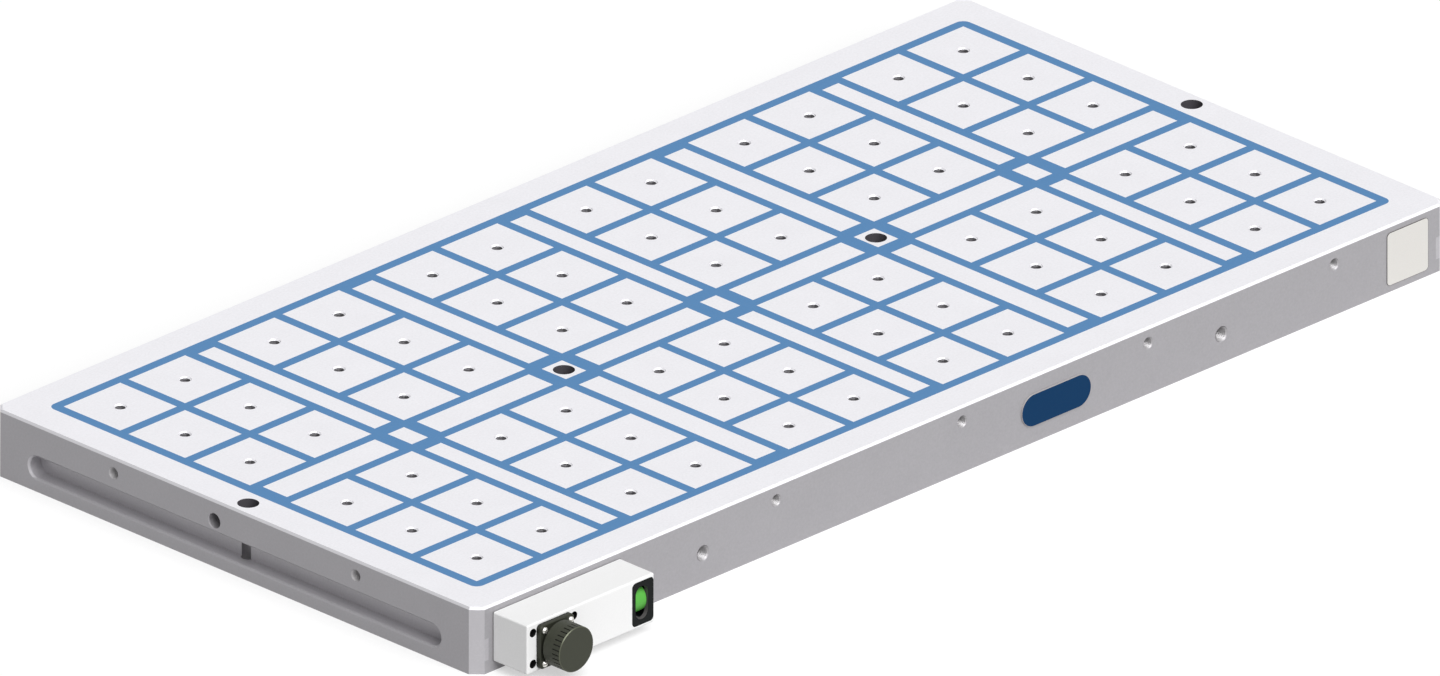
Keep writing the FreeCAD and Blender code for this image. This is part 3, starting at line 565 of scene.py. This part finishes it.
class ChuckLook(bpy.types.PropertyGroup):
    """Colours and fine sizes of the chuck."""

    steel: FloatVectorProperty(
        name="Ground steel",
        description="Colour of the ground top: poles, bars and rim",
        subtype="COLOR",
        size=3,
        min=0,
        max=1,
        default=(0.905, 0.898, 0.935),
    )
    # painted shade: the sides' colour stands for the steel in shade beside the top
    shaded_flank: FloatVectorProperty(
        name="Milled sides",
        description="Colour of the body's sides and grooves",
        subtype="COLOR",
        size=3,
        min=0,
        max=1,
        default=(0.383, 0.373, 0.392),
    )
    resin: FloatVectorProperty(
        name="Resin",
        description="Colour of the cast resin around the poles",
        subtype="COLOR",
        size=3,
        min=0,
        max=1,
        default=(0.09, 0.236, 0.465),
    )
    box: FloatVectorProperty(
        name="Connector box",
        description="Paint colour of the connector box",
        subtype="COLOR",
        size=3,
        min=0,
        max=1,
        default=(0.88, 0.88, 0.88),
    )
    connector: FloatVectorProperty(
        name="Connector",
        description="Colour of the receptacle's flange and the dust cap",
        subtype="COLOR",
        size=3,
        min=0,
        max=1,
        default=(0.045, 0.048, 0.034),
    )
    drum_on: FloatVectorProperty(
        name="Drum, first state",
        description="Colour of the drum's half that shows at rest",
        subtype="COLOR",
        size=3,
        min=0,
        max=1,
        default=(0.1, 0.45, 0.06),
    )
    drum_off: FloatVectorProperty(
        name="Drum, second state",
        description="Colour of the drum's other half",
        subtype="COLOR",
        size=3,
        min=0,
        max=1,
        default=(0.6, 0.03, 0.02),
    )
    badge: FloatVectorProperty(
        name="Badge",
        description="Colour of the blank obround plate",
        subtype="COLOR",
        size=3,
        min=0,
        max=1,
        default=(0.002, 0.036, 0.108),
    )
    label: FloatVectorProperty(
        name="Label",
        description="Colour of the blank square plate",
        subtype="COLOR",
        size=3,
        min=0,
        max=1,
        default=(0.73, 0.712, 0.682),
    )
    grain: FloatProperty(
        name="Grain",
        description="How far the steel's speckle strays from its colour",
        default=0.05,
        min=0,
        max=0.3,
        subtype="FACTOR",
    )
    top_bevel: FloatProperty(
        name="Top bevel",
        description="Height of the ground bevel round the body's top",
        default=1.4 * MM,
        min=0,
        unit="LENGTH",
    )
    corner_bevel: FloatProperty(
        name="Corner bevel",
        description="Setback of the bevels on the body's four upright corners",
        default=7.0 * MM,
        min=0,
        unit="LENGTH",
    )
    # also the size of the painted shade down the bores
    fixing_bore: FloatProperty(
        name="Fixing bore",
        description="Diameter of the bores that take the table screws' heads",
        default=14.0 * MM,
        min=0,
        unit="LENGTH",
    )
    thread_turns: IntProperty(
        name="Thread turns",
        description="Turns of thread shown in each tapped hole",
        default=5,
        min=1,
        max=8,
    )
    # the painted shade of the pole threads' turns starts below this lead-in
    lead_in: FloatProperty(
        name="Thread lead-in",
        description="Depth of the bright lead-in at the mouth of each pole's thread",
        default=0.75 * MM,
        min=0,
        unit="LENGTH",
    )
    # the window's size also bounds the painted light on its wall
    window_width: FloatProperty(
        name="Window width",
        description="Width of the indicator's window",
        default=11.0 * MM,
        min=0,
        unit="LENGTH",
    )
    window_height: FloatProperty(
        name="Window height",
        description="Height of the indicator's window",
        default=22.8 * MM,
        min=0,
        unit="LENGTH",
    )
    # also the size of the painted shade in the recesses
    box_screw_bore: FloatProperty(
        name="Box screw recess",
        description="Diameter of the recesses around the connector box's screws",
        default=5.8 * MM,
        min=0,
        unit="LENGTH",
    )
    # width of the painted highlight round the cap's front edge
    cap_edge: FloatProperty(
        name="Cap edge",
        description="Width of the worn edge round the dust cap's front",
        default=0.6 * MM,
        min=0,
        unit="LENGTH",
    )
    # also the reach of the painted shade in the notches
    cap_notch: FloatProperty(
        name="Cap notch",
        description="Depth of the grip notches round the dust cap",
        default=0.5 * MM,
        min=0,
        unit="LENGTH",
    )
    camera_span: FloatProperty(
        name="Camera span",
        description="Width of the view",
        default=0.9034,
        min=0.1,
        unit="LENGTH",
    )


# --- operators ---


class CHUCK_OT_body(bpy.types.Operator):
    """Finish the body with ground steel on top and milled steel on its sides"""

    bl_idname = "chuck.body"
    bl_label = "Body"

    def execute(self, context):
        look = context.scene.chuck_look
        steel = body_steel(
            "body_steel",
            look.steel,
            look.shaded_flank,
            look.grain,
            look.top_bevel,
            look.corner_bevel,
            fixing_centres(),
            look.fixing_bore / 2 + WALL_MARGIN,
        )
        give("base_body", steel)
        return {"FINISHED"}


class CHUCK_OT_field(bpy.types.Operator):
    """Finish the poles, the bars and the blocks between them"""

    bl_idname = "chuck.field"
    bl_label = "Pole field"

    def execute(self, context):
        look = context.scene.chuck_look
        steel = ground_steel(
            "pole_steel", look.steel, look.grain, hole_depth=POLE_MOUTH_DEPTH
        )
        for node in ("pole_shoes", "cross_bars", "centre_bars", "centre_blocks"):
            give(node, steel)
        bored = ground_steel(
            "fixing_block_steel",
            look.steel,
            look.grain,
            bores=fixing_centres(),
            bore_radius=look.fixing_bore / 2 + WALL_MARGIN,
        )
        give("fixing_blocks", bored)
        return {"FINISHED"}


class CHUCK_OT_resin(bpy.types.Operator):
    """Finish the cast resin, ground flush with the poles"""

    bl_idname = "chuck.resin"
    bl_label = "Resin"

    def execute(self, context):
        look = context.scene.chuck_look
        resin = plain_finish(
            "resin", look.resin, 0.5, grain=0.035, scale=STEEL_SPECKLE, Specular_IOR_Level=0.15
        )
        give("resin_fill", resin)
        return {"FINISHED"}


class CHUCK_OT_magnets(bpy.types.Operator):
    """Finish the magnets, the windings and the leads inside the body"""

    bl_idname = "chuck.magnets"
    bl_label = "Magnets and windings"

    def execute(self, context):
        cast = plain_finish("cast_magnet", CAST_MAGNET, 0.6, metal=0.8, grain=0.2, scale=400.0)
        plated = plain_finish("plated_magnet", PLATED_MAGNET, 0.3, metal=0.9, grain=0.05)
        rubber = plain_finish("sheath_rubber", SHEATH_RUBBER, 0.6, grain=0.2)
        give("magnet_cores", cast)
        give("side_magnets", plated)
        give("drum_magnet", plated)
        give("coils", winding_finish("winding", COPPER_WIRE))
        give("lead_bundle", rubber)
        give("lead_bush", rubber)
        return {"FINISHED"}


class CHUCK_OT_threads(bpy.types.Operator):
    """Cut thread ridges into the poles' holes and into the holes in the sides"""

    bl_idname = "chuck.threads"
    bl_label = "Threads"

    def execute(self, context):
        look = context.scene.chuck_look
        self.pole_threads(look)
        self.side_threads(look)
        return {"FINISHED"}

    def pole_threads(self, look):
        """One ridge stack in the middle of every pole."""
        steel = thread_steel("pole_thread_steel", look.steel, BODY_HIGH.z, look.lead_in)
        pitch = COARSE_PITCH[POLE_THREAD]
        down = (0, 0, -1)
        mesh = bmesh.new()
        for name, mount in MOUNTS.items():
            if name.startswith("pole_threads"):
                radius = mount["dims"]["hole_r_mm"] * MM
                for mouth in pattern_points(name):
                    turns = look.thread_turns
                    add_thread(mesh, mouth, down, radius, pitch, turns, POLE_THREAD_SIDES)
        new_piece("pole_thread_ridges", "chuck", mesh, steel)

    def side_threads(self, look):
        """The stop and lifting holes in the four sides, once each where patterns share one."""
        steel = plain_finish("side_thread_steel", SIDE_THREAD_STEEL, 0.4, metal=0.3, grain=0.1)
        mesh = bmesh.new()
        done = set()
        for name, mount in MOUNTS.items():
            if "_stops" in name or name.endswith("_lifting_threads"):
                radius = mount["dims"]["hole_r_mm"] * MM
                pitch = COARSE_PITCH[round(2 * mount["dims"]["hole_r_mm"])]
                inward = -Vector(mount["axis"])
                for mouth in pattern_points(name):
                    key = tuple(round(part, 5) for part in mouth)
                    if key not in done:
                        done.add(key)
                        turns = look.thread_turns
                        add_thread(mesh, mouth, inward, radius, pitch, turns, SIDE_THREAD_SIDES)
        new_piece("side_thread_ridges", "chuck", mesh, steel)


class CHUCK_OT_connector_box(bpy.types.Operator):
    """Paint the connector box and finish its gasket and screws"""

    bl_idname = "chuck.connector_box"
    bl_label = "Connector box"

    def execute(self, context):
        look = context.scene.chuck_look
        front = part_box("connector_box")[0].y
        head = look.box_screw_bore / 2 + WALL_MARGIN
        paint = box_paint("box_paint", look.box, box_screw_centres(), head, front)
        rubber = plain_finish("gasket_rubber", GASKET_RUBBER, 0.7, grain=0.1)
        black = plain_finish(
            "black_oxide", BLACK_OXIDE, 0.4, metal=0.5, grain=0.2, Specular_IOR_Level=0.2
        )
        give("connector_box", paint)
        give("box_gasket", rubber)
        give("box_screws", black)
        return {"FINISHED"}


class CHUCK_OT_receptacle(bpy.types.Operator):
    """Finish the power receptacle, its contacts, gasket and screws"""

    bl_idname = "chuck.receptacle"
    bl_label = "Receptacle"

    def execute(self, context):
        look = context.scene.chuck_look
        shell = plain_finish(
            "receptacle_shell", shade(look.connector, 0.7), 0.5, metal=0.2, Specular_IOR_Level=0.25
        )
        rubber = plain_finish(
            "insert_rubber", INSERT_RUBBER, 0.65, grain=0.2, Specular_IOR_Level=0.2
        )
        gold = plain_finish("contact_plating", CONTACT_GOLD, 0.25, metal=1.0, grain=0.05)
        bright = plain_finish("bright_screws", BRIGHT_SCREW, 0.28, metal=0.85, grain=0.05)
        give("receptacle", shell)
        give("receptacle_insert", rubber)
        give("flange_gasket", rubber)
        give("contact_pins", gold)
        give("flange_screws", bright)
        return {"FINISHED"}


class CHUCK_OT_dust_cap(bpy.types.Operator):
    """Finish the screwed dust cap and its sealing ring"""

    bl_idname = "chuck.dust_cap"
    bl_label = "Dust cap"

    def execute(self, context):
        look = context.scene.chuck_look
        low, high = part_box("dust_cap")
        centre = (low + high) / 2
        cap = cap_finish(
            "cap_finish",
            look.connector,
            centre,
            (high.x - low.x) / 2,
            low.y,
            look.cap_edge,
            look.cap_notch,
        )
        rubber = plain_finish("seal_rubber", SEAL_RUBBER, 0.6, grain=0.2)
        give("dust_cap", cap)
        give("cap_seal", rubber)
        return {"FINISHED"}


class CHUCK_OT_indicator(bpy.types.Operator):
    """Finish the state indicator's housing, axle and two-coloured drum"""

    bl_idname = "chuck.indicator"
    bl_label = "State indicator"

    def execute(self, context):
        look = context.scene.chuck_look
        low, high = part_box("indicator_drum")
        middle = (low + high) / 2
        black = window_finish(
            "indicator_black",
            WINDOW_BLACK,
            WINDOW_WALL_LIGHT,
            middle,
            look.window_width,
            look.window_height,
            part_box("indicator_housing")[0].y,
        )
        bright = plain_finish("axle_steel", AXLE_STEEL, 0.3, metal=0.9, grain=0.05)
        give("indicator_housing", black)
        give("indicator_drum", drum_finish("drum_paint", look.drum_on, look.drum_off, middle.y))
        give("drum_axle", bright)
        return {"FINISHED"}


class CHUCK_OT_plates(bpy.types.Operator):
    """Finish the two blank plates on the long side"""

    bl_idname = "chuck.plates"
    bl_label = "Blank plates"

    def execute(self, context):
        look = context.scene.chuck_look
        blue = edged_plate("badge_enamel", look.badge, BADGE_EDGE, "badge_plate", None, BADGE_LINE)
        grey = edged_plate(
            "label_film", look.label, LABEL_EDGE, "label_plate", LABEL_CORNER, LABEL_LINE
        )
        give("badge_plate", blue)
        give("label_plate", grey)
        return {"FINISHED"}


class CHUCK_OT_stage(bpy.types.Operator):
    """Set up the floor, the soft light and the camera"""

    bl_idname = "chuck.stage"
    bl_label = "Stage"

    def execute(self, context):
        scene = context.scene
        scene.view_settings.view_transform = "Standard"
        self.floor(scene)
        self.world(scene)
        self.lights(scene)
        self.camera(scene)
        return {"FINISHED"}

    def floor(self, scene):
        """A pale floor that looks white and still keeps a soft shadow."""
        finish = Finish(
            "floor_paper",
            Base_Color=(*FLOOR_SHADE, 1.0),
            Emission_Color=(1.0, 1.0, 1.0, 1.0),
            Roughness=1.0,
            Specular_IOR_Level=0.0,
        )
        path = finish.node("ShaderNodeLightPath", {}, {})
        seen = [Value(finish.tree, path.outputs[name]) for name in SEEN_BY]
        finish.feed("Emission Strength", (seen[0] + seen[1] + seen[2]) * FLOOR_GLOW)
        mesh = bmesh.new()
        bmesh.ops.create_grid(mesh, x_segments=1, y_segments=1, size=FLOOR_REACH)
        data = bpy.data.meshes.new("floor")
        mesh.to_mesh(data)
        mesh.free()
        data.materials.append(finish.material)
        floor = bpy.data.objects.new("floor", data)
        scene.collection.objects.link(floor)

    def world(self, scene):
        """Even light from all round, seen as white."""
        world = bpy.data.worlds.new("studio")
        world.use_nodes = True
        tree = world.node_tree
        tree.nodes.clear()
        path = add_node(tree, "ShaderNodeLightPath", {}, {})
        seen = [Value(tree, path.outputs[name]) for name in SEEN_BY]
        strength = WORLD_LIGHT + (seen[0] + seen[1] + seen[2]) * (1.0 - WORLD_LIGHT)
        light = add_node(tree, "ShaderNodeBackground", {}, {"Strength": strength})
        add_node(tree, "ShaderNodeOutputWorld", {}, {"Surface": light.outputs[0]})
        scene.world = world

    def lights(self, scene):
        """One broad soft lamp, high in front of the long side with the box."""
        data = bpy.data.lights.new("softbox", "SUN")
        data.energy = LAMP_ENERGY
        data.angle = math.radians(LAMP_BREADTH)
        lamp = bpy.data.objects.new("softbox", data)
        lamp.rotation_euler = Vector(LAMP_TOWARDS).to_track_quat("Z", "Y").to_euler()
        scene.collection.objects.link(lamp)

    def camera(self, scene):
        """A parallel view from above the near corner, half way between its two sides."""
        data = bpy.data.cameras.new("camera")
        data.type = "ORTHO"
        data.ortho_scale = scene.chuck_look.camera_span
        data.clip_end = 20.0
        camera = bpy.data.objects.new("camera", data)
        azimuth = math.radians(CAMERA_AZIMUTH)
        elevation = math.radians(CAMERA_ELEVATION)
        back = Vector(
            (
                math.sin(azimuth) * math.cos(elevation),
                -math.cos(azimuth) * math.cos(elevation),
                math.sin(elevation),
            )
        )
        aim = Vector((0, 0, CAMERA_AIM_HEIGHT))
        camera.location = aim + back * CAMERA_DISTANCE
        camera.rotation_euler = back.to_track_quat("Z", "Y").to_euler()
        scene.collection.objects.link(camera)
        scene.camera = camera


PIECE_OPERATORS = (
    CHUCK_OT_stage,
    CHUCK_OT_body,
    CHUCK_OT_field,
    CHUCK_OT_resin,
    CHUCK_OT_magnets,
    CHUCK_OT_threads,
    CHUCK_OT_connector_box,
    CHUCK_OT_receptacle,
    CHUCK_OT_dust_cap,
    CHUCK_OT_indicator,
    CHUCK_OT_plates,
)


class CHUCK_PT_panel(bpy.types.Panel):
    """Lists the chuck's sizes, colours and making steps"""

    bl_idname = "CHUCK_PT_panel"
    bl_label = "Magnetic Chuck"
    bl_space_type = "VIEW_3D"
    bl_region_type = "UI"
    bl_category = "Chuck"

    def draw(self, context):
        look = context.scene.chuck_look
        for name in look.__annotations__:
            self.layout.prop(look, name)
        for operator in PIECE_OPERATORS:
            self.layout.operator(operator.bl_idname)


CLASSES = (ChuckLook, *PIECE_OPERATORS, CHUCK_PT_panel)


def register():
    for cls in CLASSES:
        bpy.utils.register_class(cls)
    bpy.types.Scene.chuck_look = PointerProperty(type=ChuckLook)


def unregister():
    del bpy.types.Scene.chuck_look
    for cls in reversed(CLASSES):
        bpy.utils.unregister_class(cls)


def main():
    """Registers the add-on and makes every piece."""
    register()
    for operator in PIECE_OPERATORS:
        group, step = operator.bl_idname.split(".")
        getattr(getattr(bpy.ops, group), step)()
    bpy.context.view_layer.update()


if __name__ == "__main__":
    main()
